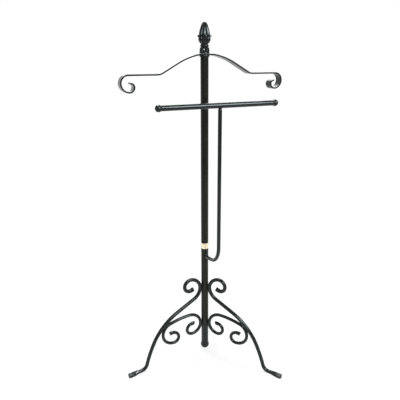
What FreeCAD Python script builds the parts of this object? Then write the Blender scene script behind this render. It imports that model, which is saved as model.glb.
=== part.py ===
import FreeCAD, Part
import math
import os
import Sketcher

# A black wrought-iron valet stand: a tripod base of bent bar, a two-piece pole that turns
# on a spigot, a trouser rail on a bent arm, a jacket hanger of flat bar and a leafy finial.
# The origin is on the pole's axis at floor level. The hanger lies along X and the rail in
# front of the pole, towards -Y. Lengths are in millimetres and turns in degrees.

doc = FreeCAD.newDocument("valet_stand")
sheet = doc.addObject("Spreadsheet::Sheet", "sizes")

DRIVING_SIZES = [
    # The base tube and the two pole tubes above it
    ("base_tube_diameter", 23.0),
    ("base_tube_wall", 1.5),
    ("base_tube_top", 248.0),
    ("pole_diameter", 22.0),
    ("pole_wall", 1.5),
    ("lower_pole_length", 122.3),
    ("upper_pole_length", 534.4),
    ("tube_edge_break", 0.4),
    # The spigot that the mast turns on, and what is pressed into tube ends
    ("swivel_clearance", 0.05),
    ("swivel_gap", 0.3),
    ("swivel_spigot_length", 70.0),
    ("press_clearance", 0.02),
    ("plug_length", 26.0),
    ("plug_chamfer", 1.0),
    # The brass collar and the stud that draws the two poles together through it
    ("brass_collar_height", 18.0),
    ("brass_collar_swell", 0.3),
    ("joint_stud_diameter", 10.0),
    ("joint_stud_grip", 20.0),
    ("stud_chamfer", 0.8),
    ("stud_clearance", 0.25),
    # The ball that closes the foot of the base tube
    ("base_ball_diameter", 27.2),
    ("base_ball_floor_gap", 6.8),
    ("base_ball_spigot", 14.0),
    # Each leg is one round bar: flattened foot, long sweep, and a curl beside the tube
    ("weld_gap", 0.1),
    ("leg_bar_diameter", 11.5),
    ("foot_run", 6.0),
    ("foot_taper", 19.0),
    ("foot_flat", 16.0),
    ("foot_width", 14.8),
    ("foot_thickness", 7.0),
    ("foot_corner", 2.0),
    ("leg_ankle_radius", 20.7),
    ("leg_shin_radius", 418.0),
    ("leg_knee_radius", 183.8),
    ("leg_slope_run", 66.6),
    ("leg_throat_radius", 39.9),
    ("leg_crown_radius", 36.0),
    ("leg_curl_radius", 20.7),
    ("leg_eye_radius", 16.8),
    ("leg_tip_run", 8.5),
    # Each brace is one lighter bar with a curl at both ends
    ("brace_bar_diameter", 10.0),
    ("brace_weld_height", 107.0),
    ("brace_shoulder_radius", 41.7),
    ("brace_arch_radius", 237.0),
    ("brace_corner_radius", 34.0),
    ("brace_return_radius", 37.6),
    ("brace_hook_radius", 15.9),
    ("brace_outer_eye_radius", 22.0),
    ("brace_belly_radius", 29.6),
    ("brace_curl_radius", 19.1),
    ("brace_inner_eye_radius", 18.3),
    # The arm that carries the trouser rail, and the rail with its ball ends
    ("arm_bar_diameter", 10.5),
    ("arm_bend_radius", 58.9),
    ("arm_aim_drop", 28.6),
    ("rail_reach", 95.3),
    ("rail_height", 805.6),
    ("rail_diameter", 14.0),
    ("rail_wall", 1.5),
    ("rail_length", 316.0),
    ("rail_ball_diameter", 18.0),
    ("rail_ball_spigot", 12.0),
    # The jacket hanger, one flat bar bent on the flat
    ("hanger_width", 25.0),
    ("hanger_thickness", 4.0),
    ("hanger_off_centre", 3.3),
    ("hanger_set_radius", 20.0),
    ("hanger_arch_radius", 185.0),
    ("hanger_slope_run", 49.7),
    ("hanger_kink_radius", 30.0),
    ("hanger_shoulder_run", 74.6),
    ("hanger_scroll_radius", 20.3),
    ("hanger_curl_radius", 21.5),
    ("hanger_hook_radius", 12.9),
    ("hanger_eye_radius", 9.0),
    # The plug in the pole's top, and the stud that holds hanger and finial down on it
    ("top_flange_diameter", 27.0),
    ("top_flange_height", 4.0),
    ("finial_stud_diameter", 8.0),
    ("finial_stud_length", 60.0),
    ("finial_stud_grip", 22.0),
    # The crown collar under the finial
    ("crown_height", 12.5),
    ("crown_foot_diameter", 26.4),
    ("crown_foot_height", 2.0),
    ("crown_waist_diameter", 23.0),
    ("crown_waist_height", 4.5),
    ("crown_lip_diameter", 24.6),
    ("crown_lip_height", 8.0),
    ("crown_neck_diameter", 19.4),
    ("crown_scallop_diameter", 5.0),
    ("crown_scallop_depth", 0.9),
    # The finial, one casting: bead, leafy cup and fluted bud
    ("finial_neck_diameter", 20.0),
    ("bead_foot_height", 4.4),
    ("bead_height", 5.2),
    ("bead_diameter", 23.8),
    ("cup_foot_height", 12.0),
    ("cup_widest_height", 20.5),
    ("cup_widest_diameter", 31.0),
    ("cup_side_radius", 16.0),
    ("bud_foot_height", 27.0),
    ("bud_foot_diameter", 28.8),
    ("bud_shoulder_height", 37.0),
    ("bud_shoulder_diameter", 28.6),
    ("bud_crown_height", 57.5),
    ("bud_crown_diameter", 15.6),
    ("bud_height", 64.9),
    ("flute_foot_height", 33.0),
    ("flute_foot_diameter", 30.2),
    ("flute_top_height", 66.0),
    ("flute_top_diameter", 14.8),
    ("flute_top_radius", 3.0),
    ("leaf_foot_height", 17.0),
    ("leaf_foot_diameter", 30.4),
    ("leaf_bend_height", 26.0),
    ("leaf_bend_diameter", 31.6),
    ("leaf_tip_height", 31.2),
    ("leaf_tip_diameter", 36.4),
    ("leaf_thickness", 2.2),
    # One overrun serves every cut
    ("cut_overrun", 2.0),
]

DRIVING_ANGLES = [
    ("tripod_angle", -24.45),
    ("leg_ankle_angle", 73.9),
    ("leg_shin_angle", 10.05),
    ("leg_knee_angle", 37.06),
    ("leg_throat_angle", 52.9),
    ("leg_crown_angle", 90.0),
    ("leg_curl_angle", 110.6),
    ("leg_eye_angle", 100.0),
    ("brace_corner_angle", 44.0),
    ("brace_return_angle", 120.0),
    ("brace_hook_angle", 90.0),
    ("brace_outer_eye_angle", 114.0),
    ("brace_inner_eye_angle", 112.0),
    ("arm_fall_angle", 12.0),
    ("hanger_set_angle", 9.0),
    ("hanger_arch_angle", 20.0),
    ("hanger_eye_angle", 100.0),
    ("leaf_spread_angle", 58.0),
    ("leaf_angle", 77.0),
]

LEG_COUNT = 3
CROWN_SCALLOP_COUNT = 12
FLUTE_COUNT = 12
LEAF_COUNT = 4
FULL_TURN = 360
HALF_TURN = 180
QUARTER_TURN = 90
EIGHTH_TURN = 45


# Sizes are kept as formulas in the sheet's names, so that every use follows the sheet


class Size:
    """A length or a turn, written as a formula in the sheet's names."""

    def __init__(self, formula):
        self.formula = formula

    @property
    def value(self):
        answer = sheet.evalExpression(self.formula)
        return float(getattr(answer, "Value", answer))

    def joined(self, sign, other):
        text = other.formula if isinstance(other, Size) else repr(other)
        return Size("(" + self.formula + " " + sign + " " + text + ")")

    def __add__(self, other):
        return self.joined("+", other)

    def __sub__(self, other):
        return self.joined("-", other)

    def __mul__(self, factor):
        return self.joined("*", factor)

    def __truediv__(self, divisor):
        return self.joined("/", divisor)

    def __neg__(self):
        return Size("(0 - " + self.formula + ")")


ZERO = Size("0")


def sine(turn):
    return Size("sin(" + turn.formula + ")")


def cosine(turn):
    return Size("cos(" + turn.formula + ")")


def root(given):
    return Size("sqrt(" + given.formula + ")")


def arc_cosine(ratio):
    return Size("(acos(" + ratio.formula + ") / 1 deg)")


def bearing(rise, run):
    return Size("(atan2(" + rise.formula + "; " + run.formula + ") / 1 deg)")


def write_row(name, content):
    row = str(sheet.getUsedCells().__len__() // 2 + 1)
    sheet.set("A" + row, name)
    sheet.set("B" + row, content)
    sheet.setAlias("B" + row, name)
    return Size("sizes." + name)


size = {}
for size_name, driving_value in DRIVING_SIZES + DRIVING_ANGLES:
    size[size_name] = write_row(size_name, str(driving_value))
doc.recompute()


def derive(name, given):
    """Adds a row whose formula follows from the rows above it."""
    derived = write_row(name, "=" + given.formula.replace("sizes.", ""))
    doc.recompute()
    return derived


def bind(thing, path, given):
    thing.setExpression(path, given.formula)


# Bodies, sketches and the features that most pieces share


def new_body(label):
    body = doc.addObject("PartDesign::Body", label)
    body.Label = label
    return body


def place_body(body, x, y, z, axis=None, turn=None):
    rotation = FreeCAD.Rotation()
    if axis is not None:
        rotation = FreeCAD.Rotation(axis, turn.value)
    base = FreeCAD.Vector(x.value, y.value, z.value)
    body.Placement = FreeCAD.Placement(base, rotation)
    bind(body, "Placement.Base.x", x)
    bind(body, "Placement.Base.y", y)
    bind(body, "Placement.Base.z", z)
    if axis is not None:
        bind(body, "Placement.Rotation.Angle", turn)


def origin_feature(body, role):
    return next(item for item in body.Origin.OriginFeatures if item.Role == role)


def new_sketch(body, plane, name, lift=None):
    sketch = body.newObject("Sketcher::SketchObject", name)
    sketch.AttachmentSupport = [(origin_feature(body, plane), "")]
    sketch.MapMode = "FlatFace"
    if lift is not None:
        offset = FreeCAD.Vector(0, 0, lift.value)
        sketch.AttachmentOffset = FreeCAD.Placement(offset, FreeCAD.Rotation())
        bind(sketch, "AttachmentOffset.Base.z", lift)
    return sketch


def dimension(sketch, kind, places, given):
    number = given.value
    if kind == "Angle":
        number = math.radians(number)
    index = sketch.addConstraint(Sketcher.Constraint(kind, *places, number))
    bind(sketch, "Constraints[" + str(index) + "]", given)


def pin_point(sketch, edge, end, x, y):
    if x is ZERO:
        sketch.addConstraint(Sketcher.Constraint("PointOnObject", edge, end, -2))
    else:
        dimension(sketch, "DistanceX", (-1, 1, edge, end), x)
    if y is ZERO:
        sketch.addConstraint(Sketcher.Constraint("PointOnObject", edge, end, -1))
    else:
        dimension(sketch, "DistanceY", (-1, 1, edge, end), y)


def end_at(sketch, edge, place):
    """Which end of an edge, 1 or 2, lies at the given place."""
    first = sketch.getPoint(edge, 1).distanceToPoint(place)
    second = sketch.getPoint(edge, 2).distanceToPoint(place)
    return 2 if second < first else 1


def bulging_arc(start, finish, radius, side):
    """The short arc from start to finish, with its centre on the left (1) or right (-1)."""
    chord = finish - start
    middle = (start + finish) * 0.5
    reach = math.sqrt(radius**2 - (chord.Length / 2) ** 2)
    across = FreeCAD.Vector(-chord.y, chord.x, 0).normalize()
    centre = middle + across * (reach * side)
    return Part.Arc(start, centre + (middle - centre).normalize() * radius, finish)


def draw_outline(sketch, corners):
    """A closed outline from corner to corner.

    A corner is (x, y), or (x, y, radius, side) where an arc starts instead of a line."""
    places = [FreeCAD.Vector(corner[0].value, corner[1].value, 0) for corner in corners]
    count = len(corners)
    starts = []
    for index, corner in enumerate(corners):
        start = places[index]
        finish = places[(index + 1) % count]
        if len(corner) == 2:
            sketch.addGeometry(Part.LineSegment(start, finish), False)
        else:
            sketch.addGeometry(bulging_arc(start, finish, corner[2].value, corner[3]), False)
        starts.append(end_at(sketch, index, start))
    for index, corner in enumerate(corners):
        following = (index + 1) % count
        sketch.addConstraint(
            Sketcher.Constraint(
                "Coincident", index, 3 - starts[index], following, starts[following]
            )
        )
    for index, corner in enumerate(corners):
        pin_point(sketch, index, starts[index], corner[0], corner[1])
        if len(corner) > 2:
            dimension(sketch, "Radius", (index,), corner[2])


def draw_circle(sketch, x, y, diameter):
    middle = FreeCAD.Vector(x.value, y.value, 0)
    circle = Part.Circle(middle, FreeCAD.Vector(0, 0, 1), diameter.value / 2)
    index = sketch.addGeometry(circle, False)
    dimension(sketch, "Diameter", (index,), diameter)
    if x is ZERO and y is ZERO:
        sketch.addConstraint(Sketcher.Constraint("Coincident", index, 3, -1, 1))
    else:
        pin_point(sketch, index, 3, x, y)


def revolve(body, name, corners):
    sketch = new_sketch(body, "XZ_Plane", name + "_outline")
    draw_outline(sketch, corners)
    turned = body.newObject("PartDesign::Revolution", name)
    turned.Profile = sketch
    turned.ReferenceAxis = (sketch, ["V_Axis"])
    turned.Angle = FULL_TURN
    body.Tip = turned
    return turned


def repeat_round(body, name, feature, count):
    pattern = body.newObject("PartDesign::PolarPattern", name)
    pattern.Originals = [feature]
    pattern.Axis = (origin_feature(body, "Z_Axis"), [""])
    pattern.Angle = FULL_TURN
    pattern.Occurrences = count
    body.Tip = pattern
    return pattern


def cut_through(body, name, sketch):
    pocket = body.newObject("PartDesign::Pocket", name)
    pocket.Profile = sketch
    pocket.Type = 1
    pocket.Midplane = True
    body.Tip = pocket
    return pocket


# Bent bars: a route of straight runs and bends that flow into each other


class Route:
    """The centreline of a bent bar, drawn in one plane of its body."""

    def __init__(self, x, y, heading):
        self.x = x
        self.y = y
        self.heading = Size(repr(heading))
        self.start = (x, y)
        self.starts_upright = heading % HALF_TURN != 0
        self.steps = []

    def place(self):
        return FreeCAD.Vector(self.x.value, self.y.value, 0)

    def run(self, length):
        start = self.place()
        self.x = self.x + length * cosine(self.heading)
        self.y = self.y + length * sine(self.heading)
        edge = Part.LineSegment(start, self.place())
        self.steps.append(("run", length, None, edge, start))
        return self

    def bend(self, radius, turn, side):
        """Bends to the left (1) or to the right (-1)."""
        start = self.place()
        spoke = radius * side
        self.centre_x = self.x - spoke * sine(self.heading)
        self.centre_y = self.y + spoke * cosine(self.heading)
        centre = FreeCAD.Vector(self.centre_x.value, self.centre_y.value, 0)
        half_way = FreeCAD.Rotation(FreeCAD.Vector(0, 0, 1), turn.value * side / 2)
        self.heading = self.heading + turn * side
        self.x = self.centre_x + spoke * sine(self.heading)
        self.y = self.centre_y - spoke * cosine(self.heading)
        middle = centre + half_way.multVec(start - centre)
        edge = Part.Arc(start, middle, self.place())
        self.steps.append(("bend", radius, turn, edge, start))
        return self

    def draw(self, body, plane, name):
        sketch = new_sketch(body, plane, name)
        last_end = None
        for index, (kind, length, turn, edge, start) in enumerate(self.steps):
            sketch.addGeometry(edge, False)
            first_end = end_at(sketch, index, start)
            if index > 0:
                sketch.addConstraint(
                    Sketcher.Constraint("Tangent", index - 1, last_end, index, first_end)
                )
            else:
                self.fix_start(sketch, kind, first_end)
            last_end = 3 - first_end
        for index, (kind, length, turn, edge, start) in enumerate(self.steps):
            if kind == "run":
                dimension(sketch, "Distance", (index, 1, index, 2), length)
            else:
                dimension(sketch, "Radius", (index,), length)
                dimension(sketch, "Angle", (index,), turn)
        return sketch

    def fix_start(self, sketch, kind, first_end):
        pin_point(sketch, 0, first_end, *self.start)
        if kind == "run":
            level = "Vertical" if self.starts_upright else "Horizontal"
            sketch.addConstraint(Sketcher.Constraint(level, 0))
        else:
            level = "Horizontal" if self.starts_upright else "Vertical"
            sketch.addConstraint(Sketcher.Constraint(level, 0, first_end, 0, 3))


def bend_bar(body, name, section, route, plane="XZ_Plane"):
    pipe = body.newObject("PartDesign::AdditivePipe", name)
    pipe.Profile = section
    pipe.Spine = (route.draw(body, plane, name + "_route"), [])
    body.Tip = pipe
    return pipe


# Heights and radii that the pieces share

base_tube_radius = size["base_tube_diameter"] / 2
base_bore_radius = base_tube_radius - size["base_tube_wall"]
pole_radius = size["pole_diameter"] / 2
pole_bore_radius = pole_radius - size["pole_wall"]
pressed_radius = pole_bore_radius - size["press_clearance"]
lower_pole_foot = size["base_tube_top"] + size["swivel_gap"]
lower_pole_top = lower_pole_foot + size["lower_pole_length"]
upper_pole_foot = lower_pole_top + size["brass_collar_height"]
upper_pole_top = upper_pole_foot + size["upper_pole_length"]
hanger_underside = upper_pole_top + size["top_flange_height"]
crown_foot = hanger_underside + size["hanger_thickness"]
finial_foot = crown_foot + size["crown_height"]
joint_bore_radius = size["joint_stud_diameter"] / 2 + size["press_clearance"]
joint_passage_radius = size["joint_stud_diameter"] / 2 + size["stud_clearance"]
finial_bore_radius = size["finial_stud_diameter"] / 2 + size["press_clearance"]
finial_passage_radius = size["finial_stud_diameter"] / 2 + size["stud_clearance"]


# Tubes, balls, turned plugs and studs, all revolved about their own axis


def make_tube(label, foot, length, radius, wall):
    """A cut length of tube with its outer edges broken."""
    body = new_body(label)
    edge = size["tube_edge_break"]
    revolve(
        body,
        label + "_wall",
        [
            (radius - wall, ZERO),
            (radius - edge, ZERO),
            (radius, edge),
            (radius, length - edge),
            (radius - edge, length),
            (radius - wall, length),
        ],
    )
    place_body(body, ZERO, ZERO, foot)


def make_plug(label, foot, bore_radius):
    """A turned plug pressed into a pole end, bored and tapped through for a stud."""
    body = new_body(label)
    length = size["plug_length"]
    chamfer = size["plug_chamfer"]
    revolve(
        body,
        label + "_turning",
        [
            (bore_radius, ZERO),
            (pressed_radius - chamfer, ZERO),
            (pressed_radius, chamfer),
            (pressed_radius, length - chamfer),
            (pressed_radius - chamfer, length),
            (bore_radius, length),
        ],
    )
    place_body(body, ZERO, ZERO, foot)


def make_stud(label, foot, length, diameter):
    """A threaded stud drawn at its outside diameter, chamfered at both ends."""
    body = new_body(label)
    chamfer = size["stud_chamfer"]
    radius = diameter / 2
    revolve(
        body,
        label + "_rod",
        [
            (ZERO, ZERO),
            (radius - chamfer, ZERO),
            (radius, chamfer),
            (radius, length - chamfer),
            (radius - chamfer, length),
            (ZERO, length),
        ],
    )
    place_body(body, ZERO, ZERO, foot)


def ball_drop(ball_radius, tube_radius):
    """How far a ball's centre lies beyond the end of a tube that it closes."""
    return root(ball_radius * ball_radius - tube_radius * tube_radius)


def make_ball(label, ball_radius, tube_radius, wall, spigot_length):
    """A ball that closes a tube's end, with a spigot pressed into the bore.

    The tube's end is at the body's own height zero and the ball hangs below it."""
    body = new_body(label)
    drop = ball_drop(ball_radius, tube_radius)
    spigot_radius = tube_radius - wall - size["press_clearance"]
    chamfer = size["plug_chamfer"]
    revolve(
        body,
        label + "_turning",
        [
            (ZERO, -(drop + ball_radius), ball_radius, 1),
            (ball_radius, -drop, ball_radius, 1),
            (tube_radius, ZERO),
            (spigot_radius, ZERO),
            (spigot_radius, spigot_length - chamfer),
            (spigot_radius - chamfer, spigot_length),
            (ZERO, spigot_length),
        ],
    )
    return body


base_ball_radius = size["base_ball_diameter"] / 2
base_tube_foot = (
    size["base_ball_floor_gap"] + base_ball_radius + ball_drop(base_ball_radius, base_tube_radius)
)
base_tube_length = size["base_tube_top"] - base_tube_foot
make_tube(
    "base_tube", base_tube_foot, base_tube_length, base_tube_radius, size["base_tube_wall"]
)
base_ball = make_ball(
    "base_ball",
    base_ball_radius,
    base_tube_radius,
    size["base_tube_wall"],
    size["base_ball_spigot"],
)
place_body(base_ball, ZERO, ZERO, base_tube_foot)


def make_swivel_spigot():
    """A turned bar pressed into the lower pole; its fatter end turns in the base tube."""
    body = new_body("swivel_spigot")
    chamfer = size["plug_chamfer"]
    running_radius = base_bore_radius - size["swivel_clearance"]
    foot = -size["swivel_spigot_length"]
    revolve(
        body,
        "spigot_turning",
        [
            (ZERO, foot),
            (running_radius - chamfer, foot),
            (running_radius, foot + chamfer),
            (running_radius, ZERO),
            (pressed_radius, ZERO),
            (pressed_radius, size["plug_length"] - chamfer),
            (pressed_radius - chamfer, size["plug_length"]),
            (ZERO, size["plug_length"]),
        ],
    )
    place_body(body, ZERO, ZERO, lower_pole_foot)


make_swivel_spigot()
make_tube(
    "lower_pole", lower_pole_foot, size["lower_pole_length"], pole_radius, size["pole_wall"]
)
make_tube(
    "upper_pole", upper_pole_foot, size["upper_pole_length"], pole_radius, size["pole_wall"]
)
make_plug("lower_plug", lower_pole_top - size["plug_length"], joint_bore_radius)
make_plug("upper_plug", upper_pole_foot, joint_bore_radius)
make_stud(
    "joint_stud",
    lower_pole_top - size["joint_stud_grip"],
    size["brass_collar_height"] + size["joint_stud_grip"] * 2,
    size["joint_stud_diameter"],
)


def make_brass_collar():
    """A brass ring between the poles, slightly barrelled and with broken edges."""
    body = new_body("brass_collar")
    height = size["brass_collar_height"]
    edge = size["tube_edge_break"]
    swell = size["brass_collar_swell"]
    half = height / 2 - edge
    barrel_radius = (half * half + swell * swell) / (swell * 2)
    revolve(
        body,
        "collar_turning",
        [
            (joint_passage_radius, ZERO),
            (pole_radius - edge, ZERO),
            (pole_radius, edge, barrel_radius, 1),
            (pole_radius, height - edge),
            (pole_radius - edge, height),
            (joint_passage_radius, height),
        ],
    )
    place_body(body, ZERO, ZERO, lower_pole_top)


make_brass_collar()


# The tripod: three legs and three braces, welded to the base tube and to each other

leg_bar_radius = size["leg_bar_diameter"] / 2
brace_bar_radius = size["brace_bar_diameter"] / 2


def leg_route(foot_reach):
    """From the flattened foot up the sweep, to where the throat ends below the weld."""
    route = Route(foot_reach, leg_bar_radius, HALF_TURN)
    route.run(size["foot_run"])
    route.bend(size["leg_ankle_radius"], size["leg_ankle_angle"], -1)
    route.bend(size["leg_shin_radius"], size["leg_shin_angle"], 1)
    route.bend(size["leg_knee_radius"], size["leg_knee_angle"], 1)
    route.knee = (route.centre_x, route.centre_y)
    route.run(size["leg_slope_run"])
    route.bend(size["leg_throat_radius"], size["leg_throat_angle"], -1)
    return route


# The crown of the curl stands upright beside the tube, so the foot's reach follows from it
weld_route = leg_route(ZERO)
weld_route.bend(size["leg_crown_radius"], weld_route.heading - QUARTER_TURN, -1)
foot_reach = derive(
    "foot_reach", base_tube_radius + size["weld_gap"] + leg_bar_radius - weld_route.x
)
knee_route = leg_route(foot_reach)
knee_x = derive("knee_centre_reach", knee_route.knee[0])
knee_z = derive("knee_centre_height", knee_route.knee[1])


def foot_section(body, name, reach):
    sketch = new_sketch(body, "YZ_Plane", name, reach)
    half = size["foot_width"] / 2
    thickness = size["foot_thickness"]
    corner = size["foot_corner"]
    draw_outline(
        sketch,
        [
            (corner - half, ZERO),
            (half - corner, ZERO, corner, 1),
            (half, corner),
            (half, thickness - corner, corner, 1),
            (half - corner, thickness),
            (corner - half, thickness, corner, 1),
            (-half, thickness - corner),
            (-half, corner, corner, 1),
        ],
    )
    return sketch


def round_section_in_eighths(body, name, reach, radius):
    """A circle in eight arcs, which pair with the eight edges of the foot's section."""
    sketch = new_sketch(body, "YZ_Plane", name, reach)
    corners = []
    for index in range(FULL_TURN // EIGHTH_TURN):
        turn = Size(repr(EIGHTH_TURN * (index - 2.5)))
        corners.append((radius * cosine(turn), radius + radius * sine(turn), radius, 1))
    draw_outline(sketch, corners)
    return sketch


def make_leg(label, turn):
    body = new_body(label)
    section = new_sketch(body, "YZ_Plane", label + "_bar", foot_reach)
    draw_circle(section, ZERO, leg_bar_radius, size["leg_bar_diameter"])
    route = leg_route(foot_reach)
    route.bend(size["leg_crown_radius"], size["leg_crown_angle"], -1)
    route.bend(size["leg_curl_radius"], size["leg_curl_angle"], -1)
    route.bend(size["leg_eye_radius"], size["leg_eye_angle"], -1)
    route.run(size["leg_tip_run"])
    bend_bar(body, label + "_sweep", section, route)
    flat = foot_section(body, label + "_foot_section", foot_reach + size["foot_taper"])
    taper = body.newObject("PartDesign::AdditiveLoft", label + "_foot_taper")
    taper.Profile = round_section_in_eighths(body, label + "_ankle", foot_reach, leg_bar_radius)
    taper.Sections = [flat]
    taper.Ruled = True
    body.Tip = taper
    foot = body.newObject("PartDesign::Pad", label + "_foot_flat")
    foot.Profile = flat
    bind(foot, "Length", size["foot_flat"])
    body.Tip = foot
    place_body(body, ZERO, ZERO, ZERO, FreeCAD.Vector(0, 0, 1), turn)


brace_weld_reach = base_tube_radius + size["weld_gap"] + brace_bar_radius


def derive_brace_arch_turn():
    """Turns the arch until the corner after it just rests against the leg's knee bend.

    The corner's centre lies on two circles: one about the arch's centre and one about the
    knee's centre."""
    arch_x = brace_weld_reach + size["brace_shoulder_radius"]
    arch_z = size["brace_weld_height"] + size["brace_shoulder_radius"] - size["brace_arch_radius"]
    to_corner = size["brace_arch_radius"] - size["brace_corner_radius"]
    touching = leg_bar_radius + size["weld_gap"] + brace_bar_radius
    from_knee = size["leg_knee_radius"] - touching - size["brace_corner_radius"]
    run = knee_x - arch_x
    rise = knee_z - arch_z
    apart_squared = run * run + rise * rise
    opening = (apart_squared + to_corner * to_corner - from_knee * from_knee) / (
        root(apart_squared) * to_corner * 2
    )
    return derive(
        "brace_arch_angle", -(bearing(rise, run) - arc_cosine(opening)) + QUARTER_TURN
    )


brace_arch_turn = derive_brace_arch_turn()


def make_brace(label, turn):
    body = new_body(label)
    section = new_sketch(body, "XY_Plane", label + "_bar", size["brace_weld_height"])
    draw_circle(section, brace_weld_reach, ZERO, size["brace_bar_diameter"])
    outward = Route(brace_weld_reach, size["brace_weld_height"], QUARTER_TURN)
    outward.bend(size["brace_shoulder_radius"], Size(repr(QUARTER_TURN)), -1)
    outward.bend(size["brace_arch_radius"], brace_arch_turn, -1)
    outward.bend(size["brace_corner_radius"], size["brace_corner_angle"], -1)
    outward.bend(size["brace_return_radius"], size["brace_return_angle"], -1)
    outward.bend(size["brace_hook_radius"], size["brace_hook_angle"], -1)
    outward.bend(size["brace_outer_eye_radius"], size["brace_outer_eye_angle"], -1)
    bend_bar(body, label + "_outward", section, outward)
    inward = Route(brace_weld_reach, size["brace_weld_height"], -QUARTER_TURN)
    inward.bend(size["brace_belly_radius"], Size(repr(QUARTER_TURN)), 1)
    inward.bend(size["brace_curl_radius"], Size(repr(QUARTER_TURN)), 1)
    inward.bend(size["brace_inner_eye_radius"], size["brace_inner_eye_angle"], 1)
    bend_bar(body, label + "_inward", section, inward)
    place_body(body, ZERO, ZERO, ZERO, FreeCAD.Vector(0, 0, 1), turn)


for place_name, place_index in (("rear", 0), ("left", 1), ("right", 2)):
    leg_turn = size["tripod_angle"] + QUARTER_TURN + FULL_TURN * place_index / LEG_COUNT
    make_leg("leg_" + place_name, leg_turn)
    make_brace("brace_" + place_name, leg_turn)


# The rail's arm, coped to the pole at its foot and to the rail at its head


def make_rail_arm():
    body = new_body("rail_arm")
    bend_turn = -size["arm_fall_angle"] + QUARTER_TURN
    aim = Route(-size["rail_reach"], ZERO, -QUARTER_TURN)
    aim.bend(size["arm_bend_radius"], bend_turn, 1)
    slope_run = derive("arm_slope_run", -aim.x / cosine(size["arm_fall_angle"]))
    aim.run(slope_run)
    aim_height = lower_pole_top - size["arm_aim_drop"]
    upright_run = derive("arm_upright_run", size["rail_height"] - aim_height + aim.y)
    section = new_sketch(body, "XY_Plane", "arm_bar", size["rail_height"])
    draw_circle(section, ZERO, -size["rail_reach"], size["arm_bar_diameter"])
    route = Route(-size["rail_reach"], size["rail_height"], -QUARTER_TURN)
    route.run(upright_run)
    route.bend(size["arm_bend_radius"], bend_turn, 1)
    route.run(slope_run)
    bend_bar(body, "arm_bend", section, route, "YZ_Plane")
    pole_cope = new_sketch(body, "XY_Plane", "pole_cope")
    draw_circle(pole_cope, ZERO, ZERO, size["pole_diameter"] + size["weld_gap"] * 2)
    cut_through(body, "arm_pole_cope", pole_cope)
    rail_cope = new_sketch(body, "YZ_Plane", "rail_cope")
    draw_circle(
        rail_cope,
        -size["rail_reach"],
        size["rail_height"],
        size["rail_diameter"] + size["weld_gap"] * 2,
    )
    cut_through(body, "arm_rail_cope", rail_cope)


def make_trouser_rail():
    body = new_body("trouser_rail")
    ring = new_sketch(body, "YZ_Plane", "rail_ring")
    draw_circle(ring, ZERO, ZERO, size["rail_diameter"])
    draw_circle(ring, ZERO, ZERO, size["rail_diameter"] - size["rail_wall"] * 2)
    tube = body.newObject("PartDesign::Pad", "rail_tube")
    tube.Profile = ring
    tube.Midplane = True
    bind(tube, "Length", size["rail_length"])
    body.Tip = tube
    place_body(body, ZERO, -size["rail_reach"], size["rail_height"])


make_rail_arm()
make_trouser_rail()
for ball_label, side, side_turn in (
    ("rail_ball_left", -1, QUARTER_TURN),
    ("rail_ball_right", 1, FULL_TURN - QUARTER_TURN),
):
    rail_ball = make_ball(
        ball_label,
        size["rail_ball_diameter"] / 2,
        size["rail_diameter"] / 2,
        size["rail_wall"],
        size["rail_ball_spigot"],
    )
    place_body(
        rail_ball,
        size["rail_length"] / 2 * side,
        -size["rail_reach"],
        size["rail_height"],
        FreeCAD.Vector(0, 1, 0),
        Size(repr(side_turn)),
    )


# The hanger: one half bent from the middle of the bar outwards, and its mirror image. The
# bar is flat where it is clamped, and it is bored a little to the left of its middle.


def make_hanger():
    body = new_body("hanger")
    half_width = size["hanger_width"] / 2
    half_thickness = size["hanger_thickness"] / 2
    section = new_sketch(body, "YZ_Plane", "hanger_bar")
    draw_outline(
        section,
        [
            (-half_width, -half_thickness),
            (half_width, -half_thickness),
            (half_width, half_thickness),
            (-half_width, half_thickness),
        ],
    )
    quarter = Size(repr(QUARTER_TURN))
    off_centre = size["hanger_off_centre"]
    seat_run = size["top_flange_diameter"] / 2 + size["tube_edge_break"] + off_centre
    route = Route(ZERO, ZERO, 0)
    route.run(seat_run)
    route.bend(size["hanger_set_radius"], size["hanger_set_angle"], -1)
    route.bend(size["hanger_arch_radius"], size["hanger_arch_angle"], -1)
    route.run(size["hanger_slope_run"])
    kink_turn = size["hanger_set_angle"] + size["hanger_arch_angle"]
    route.bend(size["hanger_kink_radius"], kink_turn, 1)
    route.run(size["hanger_shoulder_run"])
    route.bend(size["hanger_scroll_radius"], quarter, -1)
    route.bend(size["hanger_curl_radius"], quarter, -1)
    route.bend(size["hanger_hook_radius"], quarter, -1)
    route.bend(size["hanger_eye_radius"], size["hanger_eye_angle"], -1)
    half = bend_bar(body, "hanger_half", section, route)
    both = body.newObject("PartDesign::Mirrored", "hanger_both")
    both.Originals = [half]
    both.MirrorPlane = (origin_feature(body, "YZ_Plane"), [""])
    body.Tip = both
    hole = new_sketch(body, "XY_Plane", "hanger_hole_outline")
    draw_circle(hole, -off_centre, ZERO, finial_passage_radius * 2)
    cut_through(body, "hanger_hole", hole)
    place_body(body, off_centre, ZERO, hanger_underside + half_thickness)


make_hanger()


# The plug in the pole's top, the stud, the crown collar and the finial


def make_top_plug():
    """A plug pressed into the pole's top, with a flange that the hanger sits on."""
    body = new_body("top_plug")
    chamfer = size["plug_chamfer"]
    flange_radius = size["top_flange_diameter"] / 2
    edge = size["tube_edge_break"]
    revolve(
        body,
        "top_plug_turning",
        [
            (finial_bore_radius, -size["plug_length"]),
            (pressed_radius - chamfer, -size["plug_length"]),
            (pressed_radius, chamfer - size["plug_length"]),
            (pressed_radius, ZERO),
            (flange_radius - edge, ZERO),
            (flange_radius, edge),
            (flange_radius, size["top_flange_height"] - edge),
            (flange_radius - edge, size["top_flange_height"]),
            (finial_bore_radius, size["top_flange_height"]),
        ],
    )
    place_body(body, ZERO, ZERO, upper_pole_top)


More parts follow.
